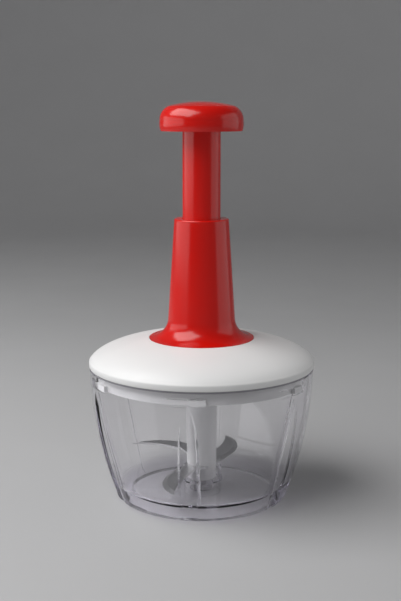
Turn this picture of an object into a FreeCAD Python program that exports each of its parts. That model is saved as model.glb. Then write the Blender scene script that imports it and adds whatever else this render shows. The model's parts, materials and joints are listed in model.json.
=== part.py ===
import FreeCAD, Part
import math
import os
import Sketcher

# Hand-pressed food chopper. Millimetres, +Z up, origin at the centre of the face it stands on.
# The column's push travel is turned into blade spin by a twisted bar and a slotted nut.

doc = FreeCAD.newDocument("food_chopper")
sheet = doc.addObject("Spreadsheet::Sheet", "Sizes")

SIZES = {
    # Bowl: its insets are measured from the rim's radius
    "bowl_height": 83.2,
    "bowl_rim_radius": 70.0,
    "bowl_mid_height": 44.6,
    "bowl_mid_inset": 3.8,
    "bowl_low_height": 16.0,
    "bowl_low_inset": 11.1,
    "bowl_corner_height": 5.0,
    "bowl_corner_inset": 15.0,
    "bowl_foot_inset": 20.5,
    "bowl_wall": 2.4,
    "bowl_floor_height": 9.5,
    "bowl_floor_thickness": 3.4,
    "bowl_floor_inset": 22.0,
    "foot_ring_width": 4.5,
    "foot_ring_draft": 1.0,
    "flute_count": 6.0,
    "flute_radius": 4.9,
    "flute_bottom_inset": 14.7,
    "flute_top_outset": 4.3,
    "flute_top_drop": 11.2,
    "flute_wall_thinning": 0.2,
    "bowl_turn": 23.0,
    "boss_radius": 12.5,
    "boss_wall": 1.5,
    "boss_root": 0.5,
    "boss_height": 8.3,
    # Bayonet between bowl and lid
    "pocket_depth": 1.1,
    "pocket_drop": 8.5,
    "pocket_angle": 10.0,
    "ledge_height": 3.8,
    "lug_angle": 8.0,
    "lug_height": 3.4,
    "lug_gap": 0.8,
    "lug_root": 0.5,
    # Pin that the blade post stands on
    "pin_radius": 3.0,
    "pin_height": 15.5,
    "pin_root": 4.5,
    "pin_boss_radius": 7.2,
    # Blade post
    "post_radius": 9.9,
    "post_foot_radius": 9.3,
    "post_foot_gap": 1.2,
    "post_foot_chamfer": 0.6,
    "post_bore_radius": 5.4,
    "bush_radius": 5.0,
    "bush_crown": 1.0,
    "bush_flange_radius": 7.4,
    "bush_flange_thickness": 0.8,
    # Blades
    "blade_thickness": 1.2,
    "blade_tip_gap": 2.2,
    "blade_half_width": 8.1,
    "blade_tip_offset": 12.2,
    "blade_edge_width": 2.6,
    "blade_edge_depth": 0.85,
    "blade_bend_start": 10.6,
    "lower_blade_lift": 10.2,
    "lower_blade_azimuth": 57.0,
    "lower_blade_rise": 6.2,
    "upper_blade_lift": 17.9,
    "upper_blade_azimuth": 142.0,
    "upper_blade_rise": -1.8,
    # Lid: its heights are measured from the face that rests on the seal
    "seal_thickness": 1.2,
    "seal_inset": 0.6,
    "seal_width": 3.0,
    "lid_overhang": 0.4,
    "lid_wall": 2.2,
    "lid_rim_height": 4.0,
    "lid_rim_round": 0.9,
    "lid_shoulder_inset": 8.6,
    "lid_shoulder_rise": 11.4,
    "lid_shoulder_bulge": 1.3,
    "lid_crown_rise": 17.4,
    "lid_crown_bulge": 1.0,
    "lid_plate_thickness": 2.2,
    "skirt_gap": 1.7,
    "skirt_wall": 2.3,
    "plate_rib_count": 6.0,
    "plate_rib_thickness": 1.8,
    "plate_rib_height": 4.6,
    # Clutch housing in the middle of the lid
    "hub_radius": 17.6,
    "hub_wall": 4.0,
    "hub_drop": 6.9,
    "hub_floor_thickness": 2.2,
    "hub_height": 17.5,
    "cap_thickness": 2.4,
    "cap_spigot_radius": 6.9,
    "cap_spigot_height": 2.6,
    "washer_thickness": 0.9,
    "driver_thickness": 3.4,
    "driver_neck_radius": 8.2,
    "driver_dog_flats": 11.2,
    "driver_dog_length": 10.5,
    "tooth_count": 8.0,
    "tooth_height": 1.6,
    "tooth_length": 3.9,
    "tooth_inset": 0.9,
    "tooth_gap": 0.35,
    "tooth_root": 0.4,
    "nut_thickness": 2.4,
    "nut_boss_radius": 8.0,
    "nut_boss_height": 5.0,
    "clutch_wire": 1.0,
    "clutch_coil_radius": 10.4,
    "clutch_coils": 2.5,
    # Column
    "sleeve_height": 74.4,
    "sleeve_top_radius": 16.9,
    "sleeve_top_round": 1.2,
    "sleeve_waist_rise": 12.2,
    "sleeve_waist_radius": 20.9,
    "sleeve_flare_radius": 32.6,
    "sleeve_flange_thickness": 1.0,
    "sleeve_flange_sink": 0.8,
    "sleeve_wall": 2.3,
    "sleeve_lip": 2.2,
    "sleeve_mouth_radius": 22.0,
    "key_width": 3.0,
    "key_reach": 12.6,
    "key_foot_gap": 3.0,
    "guide_length": 18.6,
    # Plunger
    "stroke": 50.0,
    "push_stop_gap": 2.6,
    "stem_radius": 11.7,
    "stem_wall": 1.9,
    "stem_web_drop": 3.3,
    "stem_web_thickness": 3.0,
    "collar_radius": 14.0,
    "collar_height": 4.6,
    "knob_stop_gap": 3.1,
    "knob_side_rise": 6.1,
    "knob_radius": 25.6,
    "knob_foot_radius": 24.9,
    "knob_height": 17.5,
    "knob_wall": 2.4,
    "knob_plate_rise": 0.4,
    "knob_plate_thickness": 2.4,
    "knob_post_radius": 2.2,
    "knob_post_circle": 10.4,
    # Twisted bar and springs
    "bar_width": 8.0,
    "bar_thickness": 2.4,
    "bar_foot_rise": 2.5,
    "bar_end_gap": 0.6,
    "bar_head": 2.7,
    "twist_lead": 40.0,
    "twist_spare": 0.55,
    "bar_pin_radius": 1.2,
    "bar_pin_length": 14.0,
    "spring_radius": 8.0,
    "spring_wire": 1.2,
    "spring_coils": 9.0,
    "spring_seat_thickness": 1.0,
    # Fasteners
    "lid_screw_circle": 27.0,
    "lid_screw_radius": 1.5,
    "lid_screw_head": 2.8,
    "lid_screw_head_height": 2.0,
    "lid_screw_grip": 6.9,
    "lid_screw_floor": 1.4,
    "screw_boss_radius": 3.6,
    "cap_screw_circle": 15.6,
    "cap_screw_radius": 0.9,
    "cap_screw_head": 1.7,
    "cap_screw_head_height": 1.4,
    "cap_screw_length": 6.24,
    "screw_count": 3.0,
    # Clearances
    "running_fit": 0.06,
    "slack": 0.3,
    "seat_fit": 0.1,
    "overcut": 1.0,
}


class Length(float):
    """A number that keeps the sheet formula it came from."""

    def __new__(cls, value, formula):
        number = float.__new__(cls, value)
        number.formula = formula
        return number

    def __add__(self, other):
        return Length(float(self) + float(other), "(%s + %s)" % (self.formula, formula_of(other)))

    def __radd__(self, other):
        return Length(float(other) + float(self), "(%s + %s)" % (formula_of(other), self.formula))

    def __sub__(self, other):
        return Length(float(self) - float(other), "(%s - %s)" % (self.formula, formula_of(other)))

    def __rsub__(self, other):
        return Length(float(other) - float(self), "(%s - %s)" % (formula_of(other), self.formula))

    def __mul__(self, other):
        return Length(float(self) * float(other), "(%s * %s)" % (self.formula, formula_of(other)))

    __rmul__ = __mul__

    def __truediv__(self, other):
        return Length(float(self) / float(other), "(%s / %s)" % (self.formula, formula_of(other)))

    def __neg__(self):
        return Length(-float(self), "(0 - %s)" % self.formula)


def formula_of(number):
    return number.formula if isinstance(number, Length) else "%.9g" % number


def fill_sheet():
    lengths = {}
    for row, (alias, value) in enumerate(SIZES.items(), start=1):
        sheet.set("A%d" % row, alias)
        sheet.set("B%d" % row, "%.9g" % value)
        sheet.setAlias("B%d" % row, alias)
    doc.recompute()
    for alias in SIZES:
        lengths[alias] = Length(sheet.get(alias), "Sizes.%s" % alias)
    return lengths


size = fill_sheet()


def derive_sizes():
    """Sizes that follow from the sheet: radii from the rim's, and heights one above the other."""
    rim = size["bowl_rim_radius"]
    for place in ("mid", "low", "corner", "foot", "floor"):
        size["bowl_%s_radius" % place] = rim - size["bowl_%s_inset" % place]
    size["flute_bottom_radius"] = rim - size["flute_bottom_inset"]
    size["flute_top_radius"] = rim + size["flute_top_outset"]
    size["flute_top_height"] = size["bowl_height"] - size["flute_top_drop"]
    size["pocket_bottom"] = size["bowl_height"] - size["pocket_drop"]
    size["pocket_outer"] = rim - size["bowl_wall"] + size["pocket_depth"]
    size["seal_outer_radius"] = rim - size["seal_inset"]
    size["seal_inner_radius"] = size["seal_outer_radius"] - size["seal_width"]
    size["lid_radius"] = rim + size["lid_overhang"]
    size["lid_shoulder_radius"] = size["lid_radius"] - size["lid_shoulder_inset"]
    size["skirt_outer_radius"] = rim - size["bowl_wall"] - size["skirt_gap"]
    size["skirt_bottom"] = size["pocket_bottom"] + size["lug_gap"]
    size["blade_reach"] = size["flute_bottom_radius"] - size["flute_radius"] - size["blade_tip_gap"]
    for level in ("lower", "upper"):
        size["%s_blade_height" % level] = size["bowl_floor_height"] + size["%s_blade_lift" % level]
    size["lid_bottom"] = size["bowl_height"] + size["seal_thickness"]
    size["lid_shoulder_height"] = size["lid_bottom"] + size["lid_shoulder_rise"]
    size["lid_crown_height"] = size["lid_bottom"] + size["lid_crown_rise"]
    size["hub_floor_bottom"] = size["lid_bottom"] - size["hub_drop"]
    size["hub_floor_top"] = size["hub_floor_bottom"] + size["hub_floor_thickness"]
    size["hub_top"] = size["hub_floor_bottom"] + size["hub_height"]
    size["cap_top"] = size["hub_top"] + size["cap_thickness"]
    size["washer_top"] = size["hub_floor_top"] + size["washer_thickness"]
    size["driver_top"] = size["washer_top"] + size["driver_thickness"] + size["slack"] / 2
    size["nut_face"] = size["driver_top"] + size["tooth_height"] + size["slack"]
    size["nut_top"] = size["nut_face"] + size["nut_thickness"] + size["nut_boss_height"]
    size["clutch_disc_radius"] = size["hub_radius"] - size["hub_wall"] - size["slack"]
    size["flange_bottom"] = size["lid_crown_height"] - size["sleeve_flange_sink"]
    size["sleeve_top"] = size["lid_crown_height"] + size["sleeve_height"]
    size["sleeve_waist_height"] = size["lid_crown_height"] + size["sleeve_waist_rise"]
    size["stem_bottom"] = size["cap_top"] + size["push_stop_gap"] + size["stroke"]
    size["knob_bottom"] = size["sleeve_top"] + size["stroke"] + size["knob_stop_gap"]
    size["knob_side_height"] = size["knob_bottom"] + size["knob_side_rise"]
    size["knob_top"] = size["knob_bottom"] + size["knob_height"]
    size["knob_plate_low"] = size["knob_bottom"] + size["knob_plate_rise"]
    size["knob_plate_top"] = size["knob_plate_low"] + size["knob_plate_thickness"]
    size["stem_web_height"] = size["knob_bottom"] - size["stem_web_drop"]
    size["bar_pin_height"] = size["knob_plate_top"] + size["bar_pin_radius"]
    size["bar_top"] = size["bar_pin_height"] + size["bar_head"]
    size["bar_bottom"] = size["hub_floor_bottom"] + size["bar_foot_rise"]
    size["twist_top"] = size["nut_top"] + size["stroke"] + size["twist_spare"]
    size["bar_hole"] = size["bar_width"] / 2 + size["slack"] * 2
    size["post_bore_start"] = size["bar_bottom"] - size["stroke"] - size["bar_end_gap"]
    size["bush_top"] = size["bowl_floor_height"] + size["pin_height"] + size["slack"] * 2
    size["screw_post_top"] = size["hub_top"] - size["cap_thickness"]
    size["screw_head_top"] = size["lid_bottom"] + size["lid_plate_thickness"] + size["lid_screw_floor"]


derive_sizes()


def bind(target, prop, number):
    """Set a property and tie it to the sheet."""
    if isinstance(number, Length):
        target.setExpression(prop, number.formula)
    return float(number)


def new_body(label):
    body = doc.addObject("PartDesign::Body", label)
    body.Label = label
    return body


def origin_item(body, role):
    return [item for item in body.Origin.OriginFeatures if item.Role == role][0]


def new_sketch(body, name, plane="XZ_Plane", height=0.0):
    """Sketch on one of the body's own planes, lifted off it by height."""
    sketch = body.newObject("Sketcher::SketchObject", name)
    sketch.AttachmentSupport = [(origin_item(body, plane), "")]
    sketch.MapMode = "FlatFace"
    if float(height) != 0.0:
        sketch.AttachmentOffset = FreeCAD.Placement(FreeCAD.Vector(0, 0, float(height)), FreeCAD.Rotation())
        bind(sketch, "AttachmentOffset.Base.z", height)
    return sketch


def point_end(sketch, edge, point):
    """Which end of a sketch edge lies on a point."""
    return 1 if sketch.getPoint(edge, 1).distanceToPoint(point) < 1e-6 else 2


def hold_point(sketch, edge, end, point):
    """Tie a sketch point to the sheet by its two distances from the sketch's origin."""
    for kind, number in (("DistanceX", point[0]), ("DistanceY", point[1])):
        index = sketch.addConstraint(Sketcher.Constraint(kind, -1, 1, edge, end, float(number)))
        if isinstance(number, Length):
            sketch.setExpression("Constraints[%d]" % index, number.formula)


def crown_middle(start, stop):
    """Middle of the arc between two points whose centre lies on the Y axis."""
    chord = stop - start
    centre_y = (stop.x ** 2 - start.x ** 2 + stop.y ** 2 - start.y ** 2) / (2 * chord.y)
    centre = FreeCAD.Vector(0, centre_y, 0)
    radius = (start - centre).Length
    return centre + ((start + stop) / 2 - centre).normalize() * radius


def draw_outline(sketch, corners):
    """Closed outline. A corner is (x, y); an arc to a corner is (through_x, through_y, x, y).

    ("crown", x, y) is an arc to a corner with its centre on the axis, as a dome has.
    """
    ends = [corner[-2:] for corner in corners]
    flat = [FreeCAD.Vector(float(x), float(y), 0) for x, y in ends]
    edges = []
    for index, corner in enumerate(corners):
        start, stop = flat[index - 1], flat[index]
        if corner[0] == "crown":
            edge = sketch.addGeometry(Part.Arc(start, crown_middle(start, stop), stop))
            sketch.addConstraint(Sketcher.Constraint("PointOnObject", edge, 3, -2))
        elif len(corner) == 4:
            middle = FreeCAD.Vector(float(corner[0]), float(corner[1]), 0)
            edge = sketch.addGeometry(Part.Arc(start, middle, stop))
            through = sketch.addGeometry(Part.Point(middle), True)
            sketch.addConstraint(Sketcher.Constraint("PointOnObject", through, 1, edge))
            hold_point(sketch, through, 1, corner[:2])
        else:
            edge = sketch.addGeometry(Part.LineSegment(start, stop))
        edges.append(edge)
    for index, edge in enumerate(edges):
        following = edges[(index + 1) % len(edges)]
        here = point_end(sketch, edge, flat[index])
        there = point_end(sketch, following, flat[index])
        sketch.addConstraint(Sketcher.Constraint("Coincident", edge, here, following, there))
        hold_point(sketch, edge, here, ends[index])
    return sketch


def draw_circle(sketch, x, y, radius):
    centre = FreeCAD.Vector(float(x), float(y), 0)
    edge = sketch.addGeometry(Part.Circle(centre, FreeCAD.Vector(0, 0, 1), float(radius)))
    hold_point(sketch, edge, 3, (x, y))
    index = sketch.addConstraint(Sketcher.Constraint("Radius", edge, float(radius)))
    if isinstance(radius, Length):
        sketch.setExpression("Constraints[%d]" % index, radius.formula)
    return sketch


def rectangle(x_low, x_high, y_low, y_high):
    return [(x_low, y_low), (x_high, y_low), (x_high, y_high), (x_low, y_high)]


def profile_sketch(body, name, corners):
    return draw_outline(new_sketch(body, name), corners)


def revolve(body, name, corners, kind="PartDesign::Revolution", angle=360.0, reverse=False):
    """Turn an outline drawn as (radius, height) about the Z axis; Groove cuts instead."""
    sketch = profile_sketch(body, name + "_outline", corners)
    feature = body.newObject(kind, name)
    feature.Profile = sketch
    feature.ReferenceAxis = (sketch, ["V_Axis"])
    feature.Angle = float(angle)
    bind(feature, "Angle", angle)
    feature.Reversed = reverse
    return feature


def pad(body, name, sketch, length, kind="PartDesign::Pad", reverse=False, midplane=False):
    feature = body.newObject(kind, name)
    feature.Profile = sketch
    feature.Length = float(length)
    bind(feature, "Length", length)
    feature.Reversed = reverse
    feature.Midplane = midplane
    return feature


def cut(body, name, sketch, length, reverse=False):
    return pad(body, name, sketch, length, "PartDesign::Pocket", reverse)


def ring_of(body, name, features, count):
    """Repeat features evenly about the Z axis."""
    pattern = body.newObject("PartDesign::PolarPattern", name)
    pattern.Originals = features
    pattern.Axis = (origin_item(body, "Z_Axis"), [""])
    pattern.Angle = 360.0
    pattern.Occurrences = int(round(float(count)))
    bind(pattern, "Occurrences", count)
    body.Tip = pattern
    return pattern


def turn_body(body, angle):
    turn = FreeCAD.Rotation(FreeCAD.Vector(0, 0, 1), float(angle))
    body.Placement = FreeCAD.Placement(FreeCAD.Vector(), turn)
    bind(body, "Placement.Rotation.Angle", angle)


def tilted_flute(body, name, kind, radius):
    """One straight cylinder that leans with the bowl's wall and leaves it at the flute's arched top."""
    rise = size["flute_top_height"]
    lean = size["flute_top_radius"] - size["flute_bottom_radius"]
    degrees = math.degrees(math.atan2(float(lean), float(rise)))
    tool = body.newObject(kind, name)
    tool.Radius = float(radius)
    bind(tool, "Radius", radius)
    tool.Height = float(rise) * 1.3
    bind(tool, "Height", rise * 1.3)
    tool.AttachmentSupport = [(origin_item(body, "XY_Plane"), "")]
    tool.MapMode = "FlatFace"
    # Start a tenth of the flute's height below the bowl's foot.
    start_radius = size["flute_bottom_radius"] - lean * 0.1
    start_height = rise * -0.1
    tool.AttachmentOffset = FreeCAD.Placement(
        FreeCAD.Vector(float(start_radius), 0, float(start_height)),
        FreeCAD.Rotation(FreeCAD.Vector(0, 1, 0), degrees),
    )
    bind(tool, "AttachmentOffset.Base.x", start_radius)
    bind(tool, "AttachmentOffset.Base.z", start_height)
    return tool


def bowl_wall_points(inset):
    """The wall's curve from its low point to the rim, moved inwards by inset."""
    low = (size["bowl_low_radius"] - inset, size["bowl_low_height"])
    middle = (size["bowl_mid_radius"] - inset, size["bowl_mid_height"])
    rim = (size["bowl_rim_radius"] - inset, size["bowl_height"])
    return low, middle, rim


def bowl_cavity():
    """The room inside the bowl: the wall's inner face less the six bumps behind the flutes."""
    body = new_body("bowl_cavity")
    low, middle, rim = bowl_wall_points(size["bowl_wall"])
    floor = size["bowl_floor_height"]
    floor_edge = size["bowl_floor_radius"]
    bend = (floor_edge * 0.3 + low[0] * 0.7, floor * 0.7 + low[1] * 0.3)
    lid_room = size["lid_bottom"]
    revolve(body, "cavity", [
        (0.0, floor),
        (floor_edge, floor),
        bend + low,
        middle + rim,
        (rim[0], lid_room),
        (0.0, lid_room),
    ])
    doc.recompute()
    bump_radius = size["flute_radius"] + size["bowl_wall"] - size["flute_wall_thinning"]
    bump = tilted_flute(body, "bump", "PartDesign::SubtractiveCylinder", bump_radius)
    ring_of(body, "bumps", [bump], size["flute_count"])
    doc.recompute()
    return body


def bowl():
    body = new_body("bowl")
    low, middle, rim = bowl_wall_points(0.0)
    foot = size["bowl_foot_radius"]
    corner = (size["bowl_corner_radius"], size["bowl_corner_height"])
    corner_bend = (foot * 0.3 + corner[0] * 0.7, corner[1] * 0.3)
    revolve(body, "blank", [
        (0.0, 0.0),
        (foot, 0.0),
        corner_bend + corner,
        low,
        middle + rim,
        (0.0, rim[1]),
    ])
    doc.recompute()
    cavity = bowl_cavity()
    hollow = body.newObject("PartDesign::Boolean", "hollow")
    hollow.Type = "Cut"
    hollow.setObjects([cavity])
    doc.recompute()
    underside = size["bowl_floor_height"] - size["bowl_floor_thickness"]
    foot_inner = foot - size["foot_ring_width"]
    pin_boss = size["pin_boss_radius"]
    revolve(body, "foot_recess", [
        (0.0, 0.0),
        (foot_inner, 0.0),
        (foot_inner - size["foot_ring_draft"], underside),
        (pin_boss, underside),
        (pin_boss, size["pin_root"] - size["bowl_wall"]),
        (0.0, size["pin_root"] - size["bowl_wall"]),
    ], "PartDesign::Groove")
    doc.recompute()
    flute = tilted_flute(body, "flute", "PartDesign::SubtractiveCylinder", size["flute_radius"])
    ring_of(body, "flutes", [flute], size["flute_count"])
    doc.recompute()
    boss_inner = size["boss_radius"] - size["boss_wall"]
    floor = size["bowl_floor_height"]
    revolve(body, "boss", [
        (boss_inner, floor - size["boss_root"]),
        (size["boss_radius"] + size["boss_root"], floor - size["boss_root"]),
        (size["boss_radius"], floor + size["boss_height"]),
        (boss_inner, floor + size["boss_height"]),
    ])
    socket = rectangle(0.0, size["pin_radius"], size["pin_root"], floor + size["overcut"])
    revolve(body, "pin_socket", socket, "PartDesign::Groove")
    pocket_outer = size["pocket_outer"]
    pocket_inner = pocket_outer - size["bowl_wall"]
    entry = revolve(
        body, "lug_entry",
        rectangle(pocket_inner, pocket_outer, size["pocket_bottom"], size["bowl_height"] + size["overcut"]),
        "PartDesign::Groove", size["pocket_angle"],
    )
    under_ledge = revolve(
        body, "lug_lock",
        rectangle(pocket_inner, pocket_outer, size["pocket_bottom"], size["bowl_height"] - size["ledge_height"]),
        "PartDesign::Groove", size["pocket_angle"], True,
    )
    doc.recompute()
    ring_of(body, "lug_pockets", [entry, under_ledge], size["flute_count"])
    turn_body(body, size["bowl_turn"])
    return body


def pivot_pin():
    """Steel pin pressed into the bowl's floor, with a rounded top."""
    body = new_body("pivot_pin")
    radius = size["pin_radius"]
    top = size["bowl_floor_height"] + size["pin_height"]
    nose = radius * 0.5
    revolve(body, "pin", [
        (0.0, size["pin_root"]),
        (radius, size["pin_root"]),
        (radius, top - nose),
        ("crown", 0.0, top),
    ])
    return body


def lid_seal():
    body = new_body("lid_seal")
    bottom = size["bowl_height"]
    revolve(body, "seal", rectangle(
        size["seal_inner_radius"], size["seal_outer_radius"], bottom, bottom + size["seal_thickness"]))
    return body


def lid_cover():
    """White dome. Its crown is flat under the column's flange."""
    body = new_body("lid_cover")
    bottom = size["lid_bottom"]
    wall = size["lid_wall"]
    radius = size["lid_radius"]
    rim_top = bottom + size["lid_rim_height"]
    shoulder = (size["lid_shoulder_radius"], size["lid_shoulder_height"])
    crown_edge = size["sleeve_flare_radius"] + size["slack"]
    seat = size["flange_bottom"]
    hole = size["sleeve_mouth_radius"]
    shoulder_bend = (
        (shoulder[0] + radius) / 2 + size["lid_shoulder_bulge"],
        (shoulder[1] + rim_top) / 2 + size["lid_shoulder_bulge"],
    )
    crown_bend = (
        (shoulder[0] + crown_edge) / 2,
        (shoulder[1] + size["lid_crown_height"]) / 2 + size["lid_crown_bulge"],
    )
    inner_shoulder = (shoulder[0] - wall * 0.4, shoulder[1] - wall)
    revolve(body, "dome", [
        (hole, seat - wall),
        (hole, seat),
        (crown_edge, seat),
        (crown_edge, size["lid_crown_height"]),
        crown_bend + shoulder,
        shoulder_bend + (radius, rim_top),
        (radius - 0.2, (bottom + rim_top) / 2, radius - size["lid_rim_round"], bottom),
        (radius - wall, bottom),
        (radius - wall, rim_top - 0.6),
        (shoulder_bend[0] - wall * 0.75, shoulder_bend[1] - wall * 0.75) + inner_shoulder,
        (crown_bend[0], crown_bend[1] - wall, crown_edge, size["lid_crown_height"] - wall - 0.2),
    ])
    doc.recompute()
    screw_hole = draw_circle(
        new_sketch(body, "screw_hole_circle", "XY_Plane", seat), size["lid_screw_circle"], 0.0,
        size["screw_boss_radius"] + size["slack"])
    hole_cut = cut(body, "screw_hole", screw_hole, wall * 2)
    doc.recompute()
    ring_of(body, "screw_holes", [hole_cut], size["screw_count"])
    turn_body(body, size["bowl_turn"])
    return body


def lid_ring():
    """Inner lid: plate, skirt with six lugs, ribs, and the clutch housing in the middle."""
    body = new_body("lid_ring")
    bottom = size["lid_bottom"]
    plate_top = bottom + size["lid_plate_thickness"]
    skirt = size["skirt_outer_radius"]
    skirt_inner = skirt - size["skirt_wall"]
    hub = size["hub_radius"]
    hub_bore = hub - size["hub_wall"]
    floor_low = size["hub_floor_bottom"]
    floor_top = size["hub_floor_top"]
    neck_bore = size["driver_neck_radius"] + size["running_fit"]
    edge = size["lid_radius"] - size["lid_wall"] - size["seat_fit"]
    revolve(body, "shell", [
        (neck_bore, floor_low),
        (hub, floor_low),
        (hub, bottom),
        (skirt_inner, bottom),
        (skirt_inner, size["skirt_bottom"]),
        (skirt, size["skirt_bottom"]),
        (skirt, bottom),
        (edge, bottom),
        (edge, plate_top),
        (hub, plate_top),
        (hub, size["hub_top"]),
        (hub_bore, size["hub_top"]),
        (hub_bore, floor_top),
        (neck_bore, floor_top),
    ])
    doc.recompute()
    lug = revolve(body, "lug", rectangle(
        skirt - size["lug_root"], size["pocket_outer"] - size["slack"],
        size["skirt_bottom"], size["skirt_bottom"] + size["lug_height"],
    ), angle=size["lug_angle"])
    lug.Midplane = True
    lug_sketch = doc.getObject("lug_outline")
    lug_sketch.AttachmentOffset = FreeCAD.Placement(
        FreeCAD.Vector(), FreeCAD.Rotation(FreeCAD.Vector(0, 1, 0), float(size["pocket_angle"]) / 2))
    doc.recompute()
    ring_of(body, "lugs", [lug], size["flute_count"])
    doc.recompute()
    rib_sketch = draw_outline(
        new_sketch(body, "rib_outline", "XY_Plane", plate_top),
        rectangle(
            hub - size["lug_root"], skirt_inner,
            size["plate_rib_thickness"] / -2, size["plate_rib_thickness"] / 2))
    rib = pad(body, "rib", rib_sketch, size["plate_rib_height"])
    post_sketch = draw_circle(
        new_sketch(body, "post_circle", "XY_Plane", plate_top), size["lid_screw_circle"], 0.0,
        size["lid_screw_head"] + size["lid_screw_floor"])
    doc.recompute()
    ring_of(body, "ribs", [rib], size["plate_rib_count"])
    doc.recompute()
    screw_post = pad(body, "screw_post", post_sketch, size["screw_post_top"] - plate_top)
    doc.recompute()
    ring_of(body, "screw_posts", [screw_post], size["screw_count"])
    doc.recompute()
    bore = cut(body, "screw_bore", draw_circle(
        new_sketch(body, "screw_bore_circle", "XY_Plane", size["screw_post_top"]), size["lid_screw_circle"], 0.0,
        size["lid_screw_radius"] + size["slack"]), size["screw_post_top"] - bottom + size["overcut"])
    head_room = cut(body, "screw_head_bore", draw_circle(
        new_sketch(body, "screw_head_circle", "XY_Plane", bottom), size["lid_screw_circle"], 0.0,
        size["lid_screw_head"] + size["slack"]), size["screw_head_top"] - bottom, True)
    cap_bore = cut(body, "cap_screw_bore", draw_circle(
        new_sketch(body, "cap_screw_circle", "XY_Plane", size["hub_top"]), size["cap_screw_circle"], 0.0,
        size["cap_screw_radius"]), size["cap_screw_length"] - size["cap_thickness"])
    doc.recompute()
    ring_of(body, "screw_bores", [bore, head_room, cap_bore], size["screw_count"])
    turn_body(body, size["bowl_turn"])
    return body


def column_sleeve():
    """Red bell. A thin flange rests on the lid's crown and two keys run down the inside."""
    body = new_body("column_sleeve")
    top = size["sleeve_top"]
    wall = size["sleeve_wall"]
    collar = size["sleeve_top_radius"]
    waist = (size["sleeve_waist_radius"], size["sleeve_waist_height"])
    flange_bottom = size["flange_bottom"]
    flange_top = flange_bottom + size["sleeve_flange_thickness"]
    flare = (size["sleeve_flare_radius"], flange_top)
    drop = (flare[0] - waist[0], waist[1] - flange_top)
    flare_bend = (waist[0] + drop[0] * 0.29, flange_top + drop[1] * 0.32)
    lip_hole = size["stem_radius"] + size["slack"]
    edge = size["sleeve_top_round"]
    revolve(body, "bell", [
        (lip_hole, top - size["sleeve_lip"]),
        (lip_hole, top),
        (collar - edge, top),
        (collar - edge * 0.25, top - edge * 0.25, collar, top - edge),
        waist,
        flare_bend + flare,
        (flare[0], flange_bottom),
        (size["sleeve_mouth_radius"], flange_bottom),
        (waist[0] - wall + 0.8, waist[1] - 7.0, waist[0] - wall, waist[1]),
        (collar - wall, top - size["sleeve_lip"]),
    ])
    doc.recompute()
    reach = size["key_reach"]
    key_top = top - size["sleeve_lip"] - size["guide_length"] - size["slack"]
    key_foot = flange_bottom + size["key_foot_gap"]
    key_sketch = draw_outline(new_sketch(body, "key_outline", "XZ_Plane"), [
        (reach, key_foot),
        (waist[0] + 0.6, key_foot),
        (waist[0] - 0.5, waist[1]),
        (collar - 0.6, key_top),
        (reach, key_top),
    ])
    key = pad(body, "key", key_sketch, size["key_width"], midplane=True)
    boss_sketch = draw_circle(
        new_sketch(body, "boss_circle", "XY_Plane", flange_bottom), size["lid_screw_circle"], 0.0,
        size["screw_boss_radius"])
    doc.recompute()
    ring_of(body, "keys", [key], 2)
    doc.recompute()
    boss = pad(body, "screw_boss", boss_sketch, flange_bottom - size["screw_post_top"], reverse=True)
    doc.recompute()
    pilot = cut(body, "screw_pilot", draw_circle(
        new_sketch(body, "pilot_circle", "XY_Plane", size["screw_post_top"]), size["lid_screw_circle"], 0.0,
        size["lid_screw_radius"]), size["lid_screw_grip"], True)
    doc.recompute()
    ring_of(body, "screw_bosses", [boss, pilot], size["screw_count"])
    turn_body(body, size["bowl_turn"])
    return body


def guide_bush():
    """Pale bush under the sleeve's lip that the stem slides in."""
    body = new_body("guide_bush")
    top = size["sleeve_top"] - size["sleeve_lip"]
    bottom = top - size["guide_length"]
    taper = (size["sleeve_waist_radius"] - size["sleeve_top_radius"]) / (
        size["sleeve_top"] - size["sleeve_waist_height"])
    outer_top = size["sleeve_top_radius"] - size["sleeve_wall"] - size["seat_fit"]
    bore = size["stem_radius"] + size["running_fit"]
    revolve(body, "bush", [
        (bore, bottom),
        (outer_top + taper * size["guide_length"] * 0.9, bottom),
        (outer_top, top),
        (bore, top),
    ])
    return body


def plunger_tube():
    """Red stem: tube, notched stop collar at the bottom, web and knob plate at the top."""
    body = new_body("plunger_tube")
    radius = size["stem_radius"]
    inner = radius - size["stem_wall"]
    bottom = size["stem_bottom"]
    web = size["stem_web_height"]
    plate_edge = size["knob_foot_radius"] - size["knob_wall"] - size["seat_fit"]
    plate_low = size["knob_plate_low"]
    plate_top = size["knob_plate_top"]
    collar_top = bottom + size["collar_height"]
    revolve(body, "tube", [
        (inner, bottom),
        (size["collar_radius"], bottom),
        (size["collar_radius"], collar_top),
        (radius, collar_top),
        (radius, plate_low),
        (plate_edge, plate_low),
        (plate_edge, plate_top),
        (0.0, plate_top),
        (0.0, web),
        (inner, web),
    ])
    doc.recompute()
    half_notch = size["key_width"] / 2 + size["slack"]
    notch = cut(body, "notch", draw_outline(
        new_sketch(body, "notch_outline", "XY_Plane", bottom),
        rectangle(
            size["key_reach"] - size["slack"], size["collar_radius"] + size["overcut"],
            -half_notch, half_notch)),
        size["collar_height"], True)
    doc.recompute()
    ring_of(body, "notches", [notch], 2)
    doc.recompute()
    half_width = size["bar_width"] / 2
    half_thickness = size["bar_thickness"] / 2
    cut(body, "bar_slot", draw_outline(
        new_sketch(body, "bar_slot_outline", "XY_Plane", web),
        rectangle(-half_width, half_width, -half_thickness, half_thickness)), plate_top - web, True)
    turn_body(body, size["bowl_turn"])
    return body


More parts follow.
